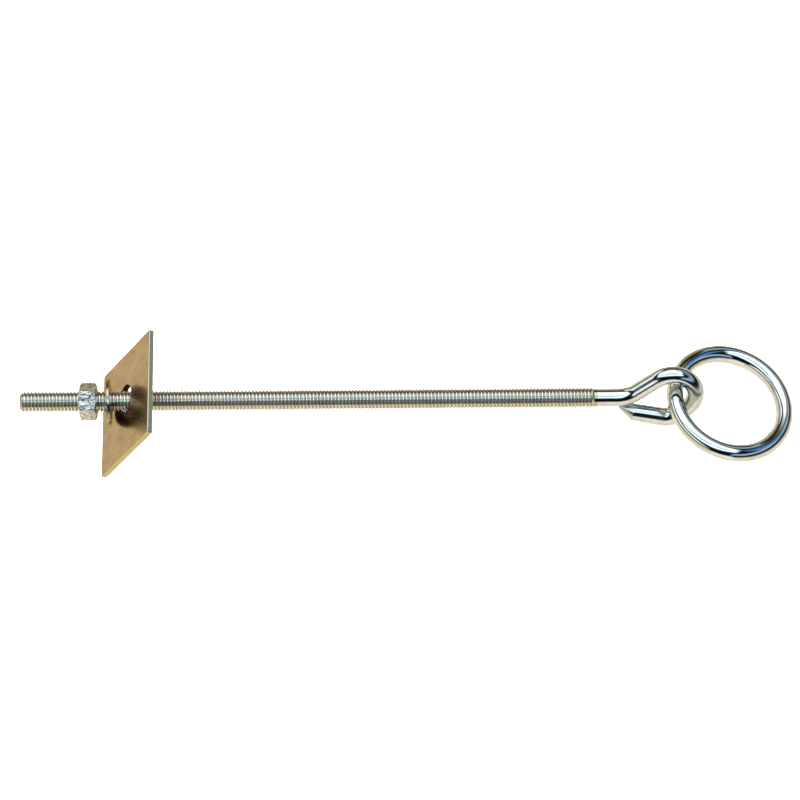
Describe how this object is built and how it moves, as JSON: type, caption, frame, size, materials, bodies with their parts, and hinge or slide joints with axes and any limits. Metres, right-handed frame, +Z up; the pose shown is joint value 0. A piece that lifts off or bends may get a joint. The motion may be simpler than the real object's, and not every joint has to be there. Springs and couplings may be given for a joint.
{
  "type": "eye bolt with ring",
  "caption": "Long through bolt with a bent eye at one end, a loose welded ring in the eye, a square backing plate, a flat washer and a hex nut on the thread.",
  "frame": {"origin": "centre of the flat face at the bar's threaded end", "axes": "+X runs along the bar from the threaded end to the eye; +Z is up as the bolt lies on a table, standing on the lower edge of its plate, with the eye's plane rolled 25.3 degrees about +X from +Z towards +Y"},
  "size_m": [0.3453, 0.0587, 0.0468],
  "materials": {
    "bar_zinc": "bright zinc plate",
    "ring_zinc": "bright zinc plate",
    "plate_yellow_zinc": "yellow passivated zinc, brushed, with plain sheared edges",
    "washer_zinc": "bright zinc plate",
    "nut_zinc": "bright zinc plate"
  },
  "bodies": {
    "eye_bolt": {"eye_bolt": "bar_zinc"},
    "ring": {"ring": "ring_zinc"},
    "backing_plate": {"backing_plate": "plate_yellow_zinc"},
    "washer": {"washer": "washer_zinc"},
    "hex_nut": {"hex_nut": "nut_zinc"}
  },
  "joints": [
    {"name": "ring_swing", "type": "hinge", "parent": "eye_bolt", "child": "ring", "pos_m": [0.29175, 0.00074, 0.00156], "axis": [0.0496, 0.9932, -0.1052], "range_deg": [-180, 150]},
    {"name": "plate_travel", "type": "slide", "parent": "eye_bolt", "child": "backing_plate", "axis": [1, 0, 0], "range_m": [-0.0254, 0.1698]},
    {"name": "washer_slide", "type": "slide", "parent": "backing_plate", "child": "washer", "axis": [1, 0, 0], "range_m": [-0.0037, 0.0003]},
    {"name": "nut_turn", "type": "hinge", "parent": "backing_plate", "child": "hex_nut", "pos_m": [0.0305, 0, 0], "axis": [1, 0, 0], "range_deg": [-5760, 38520]}
  ],
  "couplings": [
    {"joint": "nut_turn", "follows": "plate_travel", "rad_per_m": 3957.9}
  ]
}
